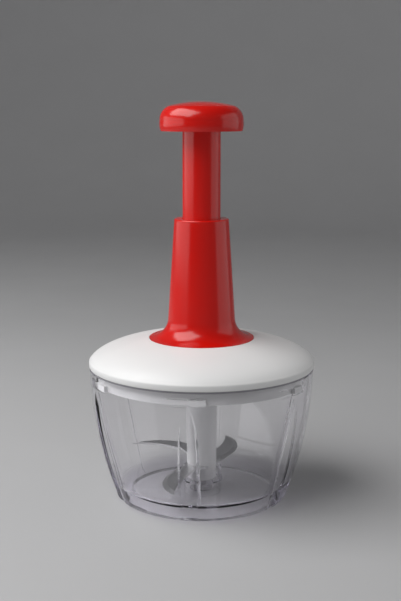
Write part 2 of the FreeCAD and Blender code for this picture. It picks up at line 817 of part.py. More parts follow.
def knob_cap():
    """Red mushroom cap that snaps over the stem's plate."""
    body = new_body("knob")
    bottom = size["knob_bottom"]
    side = size["knob_side_height"]
    top = size["knob_top"]
    radius = size["knob_radius"]
    foot = size["knob_foot_radius"]
    wall = size["knob_wall"]
    rise = top - side
    shoulder = (radius * 0.795, top - rise * 0.23)
    shoulder_bend = (radius * 0.935, side + rise * 0.50)
    revolve(body, "cap", [
        (foot - wall, bottom),
        (foot, bottom),
        (radius, bottom * 0.4 + side * 0.6, radius - 0.1, side),
        shoulder_bend + shoulder,
        ("crown", 0.0, top),
        (0.0, top - wall),
        ("crown", shoulder[0] - wall * 0.4, shoulder[1] - wall * 0.9),
        (foot - wall, side),
    ])
    doc.recompute()
    post_bottom = size["knob_plate_top"]
    press = draw_circle(
        new_sketch(body, "press_post_circle", "XY_Plane", post_bottom), size["knob_post_circle"], 0.0,
        size["knob_post_radius"])
    post = pad(body, "press_post", press, top - wall - post_bottom)
    doc.recompute()
    ring_of(body, "press_posts", [post], size["screw_count"])
    return body


def bar_pin():
    """Cross pin that hangs the twisted bar on the stem's plate."""
    pin = doc.addObject("Part::Cylinder", "bar_pin")
    pin.Label = "bar_pin"
    bind(pin, "Radius", size["bar_pin_radius"])
    bind(pin, "Height", size["bar_pin_length"])
    across = FreeCAD.Placement(
        FreeCAD.Vector(0, float(size["bar_pin_length"]) / 2, float(size["bar_pin_height"])),
        FreeCAD.Rotation(FreeCAD.Vector(1, 0, 0), 90))
    turn = FreeCAD.Rotation(FreeCAD.Vector(0, 0, 1), float(size["bowl_turn"]))
    turned = FreeCAD.Placement(FreeCAD.Vector(), turn)
    pin.Placement = turned.multiply(across)
    return pin


def plain_ring(label, inner, outer, bottom, thickness):
    """Flat ring made from two cylinders."""
    solids = []
    for suffix, radius in (("_disc", outer), ("_hole", inner)):
        cylinder = doc.addObject("Part::Cylinder", label + suffix)
        bind(cylinder, "Radius", radius)
        bind(cylinder, "Height", thickness)
        cylinder.Placement.Base = FreeCAD.Vector(0, 0, float(bottom))
        bind(cylinder, "Placement.Base.z", bottom)
        solids.append(cylinder)
    ring = doc.addObject("Part::Cut", label)
    ring.Label = label
    ring.Base, ring.Tool = solids
    return ring


def flat_bar_section(width, thickness, height, angle):
    """Rectangle across the bar at a height, turned about the axis."""
    corners = []
    turn = FreeCAD.Rotation(FreeCAD.Vector(0, 0, 1), angle)
    for x, y in ((-1, -1), (1, -1), (1, 1), (-1, 1)):
        corner = FreeCAD.Vector(x * width / 2, y * thickness / 2, height)
        corners.append(turn.multVec(corner))
    return Part.makePolygon(corners + corners[:1])


def twisted_solid(width, thickness, bottom, top):
    """Left-hand twisted bar with its lead from the sheet; the angle is zero at the bar's bottom."""
    lead = float(size["twist_lead"])
    start = float(size["bar_bottom"])
    steps = max(2, int(math.ceil((top - bottom) / lead * 16)))
    sections = []
    for step in range(steps + 1):
        height = bottom + (top - bottom) * step / steps
        sections.append(flat_bar_section(width, thickness, height, -360.0 * (height - start) / lead))
    return Part.makeLoft(sections, True, False)


def drive_bar():
    """Twisted flat bar; above the twist it runs straight up to the knob."""
    width = float(size["bar_width"])
    thickness = float(size["bar_thickness"])
    bottom = float(size["bar_bottom"])
    twist_top = float(size["twist_top"])
    turn = -bar_start_angle()
    twist = twisted_solid(width, thickness, bottom, twist_top)
    top = float(size["bar_top"])
    straight = Part.makeBox(
        width, thickness, top - twist_top, FreeCAD.Vector(-width / 2, -thickness / 2, twist_top))
    straight.rotate(FreeCAD.Vector(), FreeCAD.Vector(0, 0, 1), turn)
    bar = twist.fuse(straight).removeSplitter()
    bar.rotate(FreeCAD.Vector(), FreeCAD.Vector(0, 0, 1), -turn)
    pin_start = FreeCAD.Vector(0, float(size["bar_pin_length"]) / 2, float(size["bar_pin_height"]))
    pin = Part.makeCylinder(
        float(size["bar_pin_radius"]), float(size["bar_pin_length"]), pin_start, FreeCAD.Vector(0, -1, 0))
    return place_shape("drive_bar", bar.cut(pin), float(size["bowl_turn"]))


def place_shape(label, shape, angle=0.0):
    feature = doc.addObject("Part::Feature", label)
    feature.Label = label
    feature.Shape = shape
    turned = FreeCAD.Placement(FreeCAD.Vector(), FreeCAD.Rotation(FreeCAD.Vector(0, 0, 1), angle))
    feature.Placement = turned.multiply(shape.Placement)
    return feature


def bar_start_angle():
    """Angle of the bar's section at its bottom, so that its straight part lines up with the stem's slot."""
    return 360.0 * float(size["twist_top"] - size["bar_bottom"]) / float(size["twist_lead"])


def tangent_arcs(start, heading, stop, landing):
    """Two arcs that leave start along heading, meet smoothly and reach stop along landing."""
    chord = stop - start
    spread = 2 * (1 - heading.dot(landing))
    lean = chord.dot(heading + landing)
    arm = (-lean + math.sqrt(lean ** 2 + spread * chord.dot(chord))) / spread
    first, second = start + heading * arm, stop - landing * arm
    joint = (first + second) / 2
    arcs = []
    for begin, corner, end in ((start, first, joint), (joint, second, stop)):
        middle = (begin + end) / 2
        half_chord = (end - begin).Length / 2
        rise = (corner - middle).Length
        bulge = half_chord * math.tan(math.atan2(rise, half_chord) / 2)
        through = middle + (corner - middle).normalize() * bulge
        arcs.append(Part.Arc(begin, through, end).toShape())
    return arcs


def coil(radius, wire, bottom, top, turns):
    """Open coil of round wire from bottom to top, swept along two arcs per quarter turn."""
    quarters = int(round(turns * 4))
    rise = (top - bottom - wire) / quarters
    slope = rise / (math.pi / 2)

    def station(index):
        angle = index * math.pi / 2
        level = bottom + wire / 2 + rise * index
        point = FreeCAD.Vector(radius * math.cos(angle), radius * math.sin(angle), level)
        heading = FreeCAD.Vector(-radius * math.sin(angle), radius * math.cos(angle), slope).normalize()
        return point, heading

    arcs = []
    for index in range(quarters):
        arcs += tangent_arcs(*station(index), *station(index + 1))
    start, heading = station(0)
    ring = Part.Wire(Part.makeCircle(wire / 2, start, heading))
    return Part.Wire(arcs).makePipeShell([ring], True, False)


def return_spring():
    top = size["stem_web_height"] - size["spring_seat_thickness"]
    return place_shape("return_spring", coil(
        float(size["spring_radius"]), float(size["spring_wire"]), float(size["cap_top"]), float(top),
        float(size["spring_coils"])))


def spring_seat():
    return plain_ring(
        "spring_seat", size["bar_hole"], size["stem_radius"] - size["stem_wall"] - size["slack"],
        size["stem_web_height"] - size["spring_seat_thickness"], size["spring_seat_thickness"])


def hub_cap():
    body = new_body("hub_cap")
    bottom = size["hub_top"]
    top = size["cap_top"]
    revolve(body, "cap_disc", [
        (size["bar_hole"], bottom),
        (size["hub_radius"], bottom),
        (size["hub_radius"], top),
        (size["cap_spigot_radius"], top),
        (size["cap_spigot_radius"] - 0.4, top + size["cap_spigot_height"]),
        (size["bar_hole"], top + size["cap_spigot_height"]),
    ])
    doc.recompute()
    hole = cut(body, "cap_hole", draw_circle(
        new_sketch(body, "cap_hole_circle", "XY_Plane", top), size["cap_screw_circle"], 0.0,
        size["cap_screw_radius"] + size["seat_fit"]), size["cap_thickness"] + size["overcut"])
    doc.recompute()
    ring_of(body, "cap_holes", [hole], size["screw_count"])
    turn_body(body, size["bowl_turn"])
    return body


def screw_group(label, circle, seat, shank_end, shank_radius, head_radius, head_height):
    """Screws round a circle: each head lies behind its seat, each shank runs from the seat to its end."""
    up = float(shank_end) > float(seat)
    parts = []
    count = int(round(float(size["screw_count"])))
    for index in range(count):
        angle = 360.0 * index / count + float(size["bowl_turn"])
        centre = FreeCAD.Rotation(FreeCAD.Vector(0, 0, 1), angle).multVec(FreeCAD.Vector(float(circle), 0, 0))
        head_start = float(seat) - float(head_height) if up else float(seat)
        shank_start = min(float(seat), float(shank_end))
        shank_length = abs(float(shank_end) - float(seat))
        head = Part.makeCylinder(float(head_radius), float(head_height), centre + FreeCAD.Vector(0, 0, head_start))
        shank = Part.makeCylinder(float(shank_radius), shank_length, centre + FreeCAD.Vector(0, 0, shank_start))
        parts.append(head.fuse(shank).removeSplitter())
    return place_shape(label, Part.makeCompound(parts))


def sleeve_screws():
    return screw_group(
        "sleeve_screws", size["lid_screw_circle"], size["screw_head_top"],
        size["screw_post_top"] + size["lid_screw_grip"],
        size["lid_screw_radius"], size["lid_screw_head"], size["lid_screw_head_height"])


def cap_screws():
    return screw_group(
        "cap_screws", size["cap_screw_circle"], size["cap_top"], size["cap_top"] - size["cap_screw_length"],
        size["cap_screw_radius"], size["cap_screw_head"], size["cap_screw_head_height"])


def thrust_washer():
    return plain_ring(
        "thrust_washer", size["driver_neck_radius"] + size["slack"],
        size["hub_radius"] - size["hub_wall"] - size["seat_fit"], size["hub_floor_top"], size["washer_thickness"])


def hexagon(flats):
    across = flats / math.sqrt(3.0)
    corners = []
    for index in range(6):
        angle = math.radians(60.0 * index)
        corners.append((across * math.cos(angle), across * math.sin(angle)))
    return corners


def face_teeth(body, base, direction):
    """Saw teeth on a flat face; their steep sides carry the push stroke."""
    inner = size["nut_boss_radius"] + size["slack"]
    reach = size["clutch_disc_radius"] - inner - size["tooth_inset"]
    sketch = new_sketch(body, "tooth_outline", "YZ_Plane", inner)
    length = size["tooth_length"]
    height = size["tooth_height"]
    root = size["tooth_root"]
    if direction > 0:
        corners = [(-length, base - root), (0.0, base - root), (0.0, base + height), (-length, base)]
    else:
        start = size["tooth_gap"]
        stop = start + length
        corners = [(start, base + root), (start, base - height), (stop, base), (stop, base + root)]
    draw_outline(sketch, corners)
    tooth = pad(body, "tooth", sketch, reach)
    doc.recompute()
    return ring_of(body, "teeth", [tooth], size["tooth_count"])


def clutch_driver():
    """Lower half of the one-way clutch, with the six-sided dog that turns the post."""
    body = new_body("clutch_driver")
    low = size["washer_top"] + size["slack"] / 2
    neck_low = size["hub_floor_bottom"] - size["slack"]
    revolve(body, "disc", [
        (size["bar_hole"], neck_low),
        (size["driver_neck_radius"], neck_low),
        (size["driver_neck_radius"], low),
        (size["clutch_disc_radius"], low),
        (size["clutch_disc_radius"], size["driver_top"]),
        (size["bar_hole"], size["driver_top"]),
    ])
    doc.recompute()
    dog_sketch = draw_outline(
        new_sketch(body, "dog_outline", "XY_Plane", neck_low), hexagon(size["driver_dog_flats"]))
    draw_circle(dog_sketch, 0.0, 0.0, size["bar_hole"])
    pad(body, "dog", dog_sketch, size["driver_dog_length"], reverse=True)
    doc.recompute()
    face_teeth(body, size["driver_top"], 1)
    return body


def drive_nut():
    """Upper half of the clutch, with the twisted slot that the bar screws through."""
    body = new_body("drive_nut_blank")
    face = size["nut_face"]
    top = face + size["nut_thickness"]
    revolve(body, "nut_disc", [
        (0.0, face),
        (size["clutch_disc_radius"], face),
        (size["clutch_disc_radius"], top),
        (size["nut_boss_radius"], top),
        (size["nut_boss_radius"], top + size["nut_boss_height"]),
        (0.0, top + size["nut_boss_height"]),
    ])
    doc.recompute()
    face_teeth(body, face, -1)
    return body


def nut_with_slot(blank):
    room = 2 * float(size["slack"])
    low = float(size["nut_face"] - size["tooth_height"] - size["overcut"])
    high = float(size["nut_top"] + size["overcut"])
    slot = twisted_solid(float(size["bar_width"]) + room, float(size["bar_thickness"]) + room, low, high)
    slot.rotate(FreeCAD.Vector(), FreeCAD.Vector(0, 0, 1), bar_start_angle() + float(size["bowl_turn"]))
    tool = place_shape("nut_slot", slot)
    nut = doc.addObject("Part::Cut", "drive_nut")
    nut.Label = "drive_nut"
    nut.Base = blank
    nut.Tool = tool
    return nut


def clutch_spring():
    bottom = size["nut_face"] + size["nut_thickness"] + size["slack"]
    return place_shape("clutch_spring", coil(
        float(size["clutch_coil_radius"]), float(size["clutch_wire"]), float(bottom), float(size["hub_top"]),
        float(size["clutch_coils"])))


def arm_point(azimuth, point):
    """Turn a blade point given along and across its arm into the part's frame."""
    return FreeCAD.Rotation(FreeCAD.Vector(0, 0, 1), azimuth).multVec(FreeCAD.Vector(point[0], point[1], 0))


def lead_edge_radius():
    """Radius of the swept part of the leading edge, which starts halfway along the arm."""
    swing = float(size["blade_reach"]) * 0.5
    climb = float(size["blade_tip_offset"] + size["blade_half_width"])
    return (swing ** 2 + climb ** 2) / (2 * climb)


def blade_arm_edges(azimuth):
    """Scimitar arm from one side of the hub to the other: swept leading edge, hollow trailing edge."""
    reach = float(size["blade_reach"])
    half = float(size["blade_half_width"])
    tip = float(size["blade_tip_offset"])
    root = reach * 0.5
    lead_radius = lead_edge_radius()
    mid_angle = math.asin((reach - root) / lead_radius) * 0.5
    lead_middle = (root + lead_radius * math.sin(mid_angle), -half + lead_radius * (1 - math.cos(mid_angle)))
    hollow = (reach * 0.52, half * 0.5)
    heel = (half * 0.8, half)
    corners = [
        arm_point(azimuth, point)
        for point in ((0, -half), (root, -half), lead_middle, (reach, tip), hollow, heel, (0, half))
    ]
    return [
        Part.makeLine(corners[0], corners[1]),
        Part.Arc(corners[1], corners[2], corners[3]).toShape(),
        Part.Arc(corners[3], corners[4], corners[5]).toShape(),
        Part.makeLine(corners[5], corners[6]),
    ]


def blade_outline(azimuth, arms):
    """Face of the flat stamping; a single arm has a round hub behind it."""
    edges = blade_arm_edges(azimuth)
    if arms == 2:
        edges += blade_arm_edges(azimuth + 180.0)
    else:
        half = float(size["blade_half_width"])
        back = [arm_point(azimuth, point) for point in ((0, half), (-half, 0), (0, -half))]
        edges.append(Part.Arc(*back).toShape())
    return Part.Face(Part.Wire(edges))


def bent_slab(azimuth, height, rise, both_ways):
    """Strip of the blade's thickness, flat at the hub and bent up or down along each arm."""
    thickness = float(size["blade_thickness"])
    flat = float(size["blade_bend_start"])
    far = float(size["blade_reach"]) * 1.2
    climb = (far - flat) * math.tan(math.radians(rise))
    back = -climb if both_ways else 0.0
    low = [(-far, back), (-flat, 0.0), (flat, 0.0), (far, climb)]
    points = [(x, z - thickness / 2) for x, z in low] + [(x, z + thickness / 2) for x, z in reversed(low)]
    corners = [FreeCAD.Vector(x, -far, z + height) for x, z in points]
    slab = Part.Face(Part.makePolygon(corners + corners[:1])).extrude(FreeCAD.Vector(0, 2 * far, 0))
    slab.rotate(FreeCAD.Vector(), FreeCAD.Vector(0, 0, 1), azimuth)
    return slab


def bevel_wire(inset, height):
    """Band along an arm's leading edge, from inset inside it to well outside it."""
    start = float(size["blade_bend_start"]) + 0.3
    reach = float(size["blade_reach"])
    half = float(size["blade_half_width"])
    root = reach * 0.5
    lead_radius = lead_edge_radius()
    end_angle = math.asin((reach - root) / lead_radius) + math.radians(5)
    centre_y = lead_radius - half

    def on_arc(radius, angle):
        return FreeCAD.Vector(root + radius * math.sin(angle), centre_y - radius * math.cos(angle), height)

    inner = lead_radius - inset
    outer = lead_radius + 3.0
    inner_start = FreeCAD.Vector(start, centre_y - inner, height)
    outer_start = FreeCAD.Vector(start, centre_y - outer, height)
    return Part.Wire([
        Part.makeLine(inner_start, on_arc(inner, 0.0)),
        Part.Arc(on_arc(inner, 0.0), on_arc(inner, end_angle / 2), on_arc(inner, end_angle)).toShape(),
        Part.makeLine(on_arc(inner, end_angle), on_arc(outer, end_angle)),
        Part.Arc(on_arc(outer, end_angle), on_arc(outer, end_angle / 2), on_arc(outer, 0.0)).toShape(),
        Part.makeLine(on_arc(outer, 0.0), outer_start),
        Part.makeLine(outer_start, inner_start),
    ])


def bevel_tool(azimuth, height, rise):
    """Wedge that grinds the bevel on one bent arm's upper side."""
    top = height + float(size["blade_thickness"]) / 2
    depth = float(size["blade_edge_depth"])
    width = float(size["blade_edge_width"])
    above = 0.2
    outside = 0.3
    low = bevel_wire(-outside, top - depth * (width + outside) / width)
    high = bevel_wire(width * (depth + above) / depth, top + above)
    tool = Part.makeLoft([low, high], True, True)
    tool.rotate(FreeCAD.Vector(float(size["blade_bend_start"]), 0, height), FreeCAD.Vector(0, 1, 0), -rise)
    tool.rotate(FreeCAD.Vector(), FreeCAD.Vector(0, 0, 1), azimuth)
    return tool


def blade(label, azimuth, height, rise, arms):
    """Stamped plate with a bevelled leading edge on each arm and an eye for the bush."""
    tall = float(size["blade_reach"])
    base = FreeCAD.Vector(0, 0, -tall)
    outline = blade_outline(azimuth, arms)
    outline.translate(base)
    plate = outline.extrude(FreeCAD.Vector(0, 0, 2 * tall)).common(bent_slab(azimuth, height, rise, arms == 2))
    for arm in range(arms):
        plate = plate.cut(bevel_tool(azimuth + 180.0 * arm, height, rise if arm == 0 else -rise))
    eye = Part.makeCylinder(float(size["bush_radius"]), 2 * tall, base)
    return place_shape(label, plate.cut(eye))


def pivot_bush():
    """Bush in the post's foot; its polished flange shows under the post."""
    body = new_body("pivot_bush")
    low = size["bowl_floor_height"] + size["post_foot_gap"] - size["bush_flange_thickness"]
    bore = size["pin_radius"] + size["running_fit"]
    flange_top = low + size["bush_flange_thickness"]
    top = size["bush_top"]
    revolve(body, "bush", [
        (bore, low),
        (size["bush_flange_radius"], low),
        (size["bush_flange_radius"], flange_top),
        (size["bush_radius"], flange_top),
        (size["bush_radius"], top + size["bush_crown"]),
        (0.0, top + size["bush_crown"]),
        (0.0, top),
        (bore, top),
    ])
    return body


def blade_post(blades):
    """White post moulded round the blades, with a six-sided socket at the top."""
    body = new_body("post_blank")
    low = size["bowl_floor_height"] + size["post_foot_gap"]
    top = size["hub_floor_bottom"] - size["slack"]
    bush_top = size["bush_top"] + size["bush_crown"]
    foot = size["post_foot_radius"]
    chamfer = size["post_foot_chamfer"]
    revolve(body, "post", [
        (size["bush_radius"], low),
        (foot - chamfer, low),
        (foot, low + chamfer),
        (size["post_radius"], top),
        (size["post_bore_radius"], top),
        (size["post_bore_radius"], size["post_bore_start"]),
        (0.0, size["post_bore_start"]),
        (0.0, bush_top),
        (size["bush_radius"], bush_top),
    ])
    doc.recompute()
    cut(body, "socket", draw_outline(
        new_sketch(body, "socket_outline", "XY_Plane", top),
        hexagon(size["driver_dog_flats"] + size["seat_fit"] * 2)), size["driver_dog_length"] + size["slack"])
    doc.recompute()
    both = doc.addObject("Part::MultiFuse", "blade_pair")
    both.Shapes = blades
    post = doc.addObject("Part::Cut", "blade_post")
    post.Label = "blade_post"
    post.Base = body
    post.Tool = both
    return post


def build():
    pieces = [bowl(), pivot_pin(), lid_seal(), lid_cover(), lid_ring(), column_sleeve(), guide_bush()]
    pieces += [sleeve_screws(), plunger_tube(), knob_cap(), bar_pin(), drive_bar(), spring_seat()]
    pieces += [return_spring(), hub_cap(), cap_screws(), thrust_washer(), clutch_driver()]
    pieces += [nut_with_slot(drive_nut()), clutch_spring(), pivot_bush()]
    lower = blade("lower_blade", float(size["lower_blade_azimuth"]), float(size["lower_blade_height"]),
                  float(size["lower_blade_rise"]), 2)
    upper = blade("upper_blade", float(size["upper_blade_azimuth"]), float(size["upper_blade_height"]),
                  float(size["upper_blade_rise"]), 1)
    pieces += [lower, upper, blade_post([lower, upper])]
    doc.recompute()
    return pieces


def check_cut(item):
    """A pocket or groove has to take something away from the feature before it."""
    removed = item.BaseFeature.Shape.cut(item.Shape).Volume
    if not removed > 1.0:
        raise RuntimeError("%s removes nothing" % item.Label)


def check(pieces):
    """Stop before writing if anything failed."""
    for item in doc.Objects:
        if "Invalid" in item.State or "Error" in item.State:
            raise RuntimeError("%s is %s" % (item.Label, item.State))
        if item.TypeId in ("PartDesign::Pocket", "PartDesign::Groove"):
            check_cut(item)
    for piece in pieces:
        if piece.Shape.isNull() or not piece.Shape.isValid():
            raise RuntimeError("%s has no valid shape" % piece.Label)


def write(pieces):
    os.makedirs("parts", exist_ok=True)
    for piece in pieces:
        piece.Shape.exportStep("parts/%s.step" % piece.Label)
        print("%-16s solids %d volume %.1f" % (piece.Label, len(piece.Shape.Solids), piece.Shape.Volume))


finished = build()
check(finished)
write(finished)
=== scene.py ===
import json
import math

import bmesh
import bpy
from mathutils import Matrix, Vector

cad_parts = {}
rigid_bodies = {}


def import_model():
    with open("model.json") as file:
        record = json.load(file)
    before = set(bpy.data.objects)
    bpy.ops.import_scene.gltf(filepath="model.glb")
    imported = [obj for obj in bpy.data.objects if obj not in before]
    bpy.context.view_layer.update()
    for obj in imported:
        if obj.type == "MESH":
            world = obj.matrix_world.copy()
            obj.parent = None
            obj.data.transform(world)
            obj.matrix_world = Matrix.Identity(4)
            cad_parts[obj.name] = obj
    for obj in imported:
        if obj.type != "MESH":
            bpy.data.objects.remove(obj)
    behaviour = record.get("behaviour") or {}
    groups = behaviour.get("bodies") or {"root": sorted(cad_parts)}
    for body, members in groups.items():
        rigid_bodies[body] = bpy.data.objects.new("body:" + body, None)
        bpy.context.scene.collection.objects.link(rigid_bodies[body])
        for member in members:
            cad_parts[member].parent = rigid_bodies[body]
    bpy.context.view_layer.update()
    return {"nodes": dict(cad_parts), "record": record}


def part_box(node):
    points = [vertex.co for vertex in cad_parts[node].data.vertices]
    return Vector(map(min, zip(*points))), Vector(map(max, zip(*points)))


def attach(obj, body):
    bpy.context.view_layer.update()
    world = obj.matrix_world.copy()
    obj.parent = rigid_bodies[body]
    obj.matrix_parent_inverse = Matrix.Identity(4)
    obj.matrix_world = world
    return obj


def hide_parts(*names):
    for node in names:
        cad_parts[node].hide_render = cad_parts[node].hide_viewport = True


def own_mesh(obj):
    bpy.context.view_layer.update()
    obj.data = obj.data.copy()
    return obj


# Lengths are in metres and angles in degrees.
SMOOTH_ANGLE = 32.0

for item in list(bpy.data.objects):
    bpy.data.objects.remove(item)

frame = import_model()


# Shaders

class Shader:
    """A material's node tree with short calls for its nodes and links."""

    def __init__(self, name):
        self.material = bpy.data.materials.new(name)
        self.material.use_nodes = True
        self.tree = self.material.node_tree
        self.tree.nodes.clear()
        self.output = self.node("OutputMaterial")
        self.place = self.node("TexCoord").outputs["Object"]

    def node(self, kind, operation=None, **inputs):
        """Add a node. A socket's name is given with underscores for its spaces."""
        made = self.tree.nodes.new("ShaderNode" + kind)
        if operation:
            made.operation = operation
        for name, value in inputs.items():
            self.feed(made, name.replace("_", " "), value)
        return made

    def feed(self, target, socket, value):
        """Give a socket a value, or link it to another node's output."""
        entry = target.inputs[socket]
        if isinstance(value, bpy.types.NodeSocket):
            self.tree.links.new(value, entry)
        else:
            entry.default_value = value

    def stretched(self, scale):
        """Object coordinates stretched by a factor on each axis."""
        return self.node("Mapping", Vector=self.place, Scale=scale).outputs["Vector"]

    def noise(self, scale, detail=3.0, roughness=0.5, place=None):
        made = self.node(
            "TexNoise", Vector=place or self.place, Scale=scale, Detail=detail,
            Roughness=roughness)
        return made.outputs["Fac"]

    def ramp(self, value, low, high, start=0.0, stop=1.0):
        """Map value from start..stop onto low..high."""
        made = self.node(
            "MapRange", Value=value, From_Min=start, From_Max=stop, To_Min=low, To_Max=high)
        return made.outputs["Result"]

    def add(self, first, second):
        made = self.node("Math", operation="ADD")
        self.feed(made, 0, first)
        self.feed(made, 1, second)
        return made.outputs["Value"]

    def blend(self, factor, first, second):
        """Mix two colours, all first at 0 and all second at 1."""
        made = self.node("MixRGB", Fac=factor, Color1=(*first, 1.0), Color2=(*second, 1.0))
        return made.outputs["Color"]

    def bump(self, height, distance, strength=1.0, over=None):
        """Normals for a height, on top of another bump's normals if they are given."""
        made = self.node("Bump", Height=height, Distance=distance, Strength=strength)
        if over is not None:
            self.feed(made, "Normal", over)
        return made.outputs["Normal"]

    def scratches(self, across, along, amount):
        """Fine straight scratches as a value that is mostly 0 and reaches amount."""
        lines = self.noise(1.0, detail=2.0, place=self.stretched((across, across, along)))
        return self.ramp(lines, 0.0, amount, start=0.62, stop=0.74)

    def surface(self, shader, volume=None):
        """End the tree with its shaders and give the material."""
        self.feed(self.output, "Surface", shader.outputs[0])
        if volume is not None:
            self.feed(self.output, "Volume", volume.outputs[0])
        return self.material


def moulded_plastic(name, light, dark, roughness, grain, grain_height):
    """Slow colour drift, uneven gloss, faint scratches, moulding waves and surface grain."""
    s = Shader(name)
    colour = s.blend(s.noise(26.0, detail=4.0), dark, light)
    patches = s.noise(55.0, detail=5.0, roughness=0.6)
    gloss = s.ramp(patches, *roughness, start=0.3, stop=0.7)
    for across, along in ((240.0, 2600.0), (2200.0, 150.0)):
        gloss = s.add(gloss, s.scratches(across, along, amount=0.05))
    waves = s.bump(s.noise(70.0, detail=2.0), distance=0.00006, strength=0.5)
    normal = s.bump(s.noise(grain, detail=2.0), distance=grain_height, over=waves)
    return s.surface(s.node(
        "BsdfPrincipled", Base_Color=colour, Roughness=gloss, Normal=normal, IOR=1.5))


def clear_plastic(name):
    """Clear plastic with a faint purple-grey tint and hardly wavy, slightly smudged faces.

    The IOR is lower than a real plastic's, whose flutes would get thick black edges, and
    the coat gives back the reflections that this takes away.
    """
    s = Shader(name)
    patches = s.noise(34.0, detail=5.0, roughness=0.62)
    smudge = s.ramp(patches, 0.012, 0.06, start=0.42, stop=0.75)
    waves = s.bump(s.noise(30.0, detail=2.0), distance=0.00003, strength=0.4)
    normal = s.bump(s.noise(900.0, detail=2.0), distance=0.000002, strength=0.6, over=waves)
    plastic = s.node(
        "BsdfPrincipled", Base_Color=(0.99, 0.988, 0.995, 1.0), Roughness=smudge,
        Normal=normal, IOR=1.07, Coat_Weight=0.7, Coat_Roughness=0.03,
        Transmission_Weight=1.0)
    through = s.node("BsdfTransparent", Color=(0.88, 0.875, 0.89, 1.0))
    by_shadow = s.node("MixShader")
    s.feed(by_shadow, 0, s.node("LightPath").outputs["Is Shadow Ray"])
    s.feed(by_shadow, 1, plastic.outputs[0])
    s.feed(by_shadow, 2, through.outputs[0])
    tint = s.node("VolumeAbsorption", Color=(0.72, 0.69, 0.79, 1.0), Density=24.0)
    return s.surface(by_shadow, tint)


def steel(name, light, dark, roughness, brush, depth, anisotropy=0.0):
    """A brushed or ground finish: long fine lines in gloss, colour and height."""
    s = Shader(name)
    lines = s.noise(1.0, detail=3.0, roughness=0.6, place=s.stretched(brush))
    colour = s.blend(lines, dark, light)
    cloud = s.ramp(s.noise(60.0, detail=4.0), -0.04, 0.05)
    gloss = s.add(s.ramp(lines, *roughness, start=0.3, stop=0.7), cloud)
    normal = s.bump(lines, depth)
    return s.surface(s.node(
        "BsdfPrincipled", Base_Color=colour, Roughness=gloss, Normal=normal, Metallic=1.0,
        Anisotropic=anisotropy))


def rubber(name):
    """Grey silicone, matt and finely grained."""
    s = Shader(name)
    colour = s.blend(s.noise(120.0, detail=4.0), (0.30, 0.29, 0.32), (0.36, 0.35, 0.38))
    gloss = s.ramp(s.noise(300.0, detail=3.0), 0.5, 0.7)
    normal = s.bump(s.noise(2400.0, detail=2.0), distance=0.00001)
    return s.surface(s.node(
        "BsdfPrincipled", Base_Color=colour, Roughness=gloss, Normal=normal))


def backdrop(name):
    """Light grey, painted brighter further out: painted light on the far floor and wall."""
    s = Shader(name)
    distance = s.node("VectorMath", operation="LENGTH")
    s.feed(distance, 0, s.place)
    # Painted light: the colour rises with distance, standing in for lamp light that the far
    # floor and wall lack.
    painted_light_ramp = s.ramp(distance.outputs["Value"], 0.0, 0.9, start=0.6, stop=2.6)
    cloud = s.ramp(s.noise(9.0, detail=3.0), -0.05, 0.05)
    colour = s.blend(s.add(painted_light_ramp, cloud), (0.52, 0.52, 0.524), (0.95, 0.95, 0.955))
    normal = s.bump(s.noise(700.0, detail=3.0), distance=0.00002)
    return s.surface(s.node(
        "BsdfPrincipled", Base_Color=colour, Roughness=0.55, Normal=normal))


WHITE_FACE = dict(roughness=(0.36, 0.46), grain=1900.0, grain_height=0.000006)

PLASTICS = {
    "white_plastic": dict(light=(0.86, 0.86, 0.855), dark=(0.83, 0.83, 0.825), **WHITE_FACE),
    # The second white is the same white made darker: painted shade for parts under the dome
    # and inside the bowl.
    "shaded_white": dict(light=(0.70, 0.70, 0.70), dark=(0.66, 0.66, 0.665), **WHITE_FACE),
    "red_plastic": dict(
        light=(0.66, 0.008, 0.004), dark=(0.61, 0.006, 0.003), roughness=(0.16, 0.23),
        grain=1400.0, grain_height=0.0000025),
    "pale_plastic": dict(
        light=(0.74, 0.72, 0.66), dark=(0.69, 0.67, 0.61), roughness=(0.42, 0.55),
        grain=1600.0, grain_height=0.00001),
}

STEELS = {
    "blade_steel": dict(
        light=(0.71, 0.71, 0.72), dark=(0.66, 0.66, 0.67), roughness=(0.26, 0.34),
        brush=(2400.0, 90.0, 90.0), depth=0.000002, anisotropy=0.3),
    "bar_steel": dict(
        light=(0.58, 0.58, 0.59), dark=(0.46, 0.46, 0.47), roughness=(0.25, 0.38),
        brush=(1200.0, 1200.0, 40.0), depth=0.000004),
    "pin_steel": dict(
        light=(0.60, 0.60, 0.61), dark=(0.50, 0.50, 0.51), roughness=(0.22, 0.34),
        brush=(40.0, 40.0, 1500.0), depth=0.000003),
    "bush_metal": dict(
        light=(0.70, 0.70, 0.71), dark=(0.62, 0.62, 0.63), roughness=(0.10, 0.20),
        brush=(50.0, 50.0, 1800.0), depth=0.000002),
    "spring_steel": dict(
        light=(0.56, 0.56, 0.57), dark=(0.44, 0.44, 0.45), roughness=(0.24, 0.36),
        brush=(700.0, 700.0, 700.0), depth=0.000003),
    "screw_steel": dict(
        light=(0.62, 0.62, 0.61), dark=(0.50, 0.50, 0.50), roughness=(0.26, 0.40),
        brush=(500.0, 500.0, 60.0), depth=0.000003),
}

FINISHES = {name: make(name) for name, make in (
    ("clear_plastic", clear_plastic), ("seal_silicone", rubber))}
FINISHES.update((name, moulded_plastic(name, **look)) for name, look in PLASTICS.items())
FINISHES.update((name, steel(name, **look)) for name, look in STEELS.items())


# CAD nodes keep their shapes and take their slots' finishes. Two white ones, the ring under
# the dome and the post in the bowl, take a darker copy of the white: painted shade.

SHADED_WHITE_NODES = ("lid_ring", "blade_post")


def dress(piece, finish):
    piece.data.materials.clear()
    piece.data.materials.append(FINISHES[finish])


slots = {row["node"]: row["material_slot"] for row in frame["record"]["subparts"]}
for name, node in frame["nodes"].items():
    dress(node, "shaded_white" if name in SHADED_WHITE_NODES else slots[name])


# Pieces made here

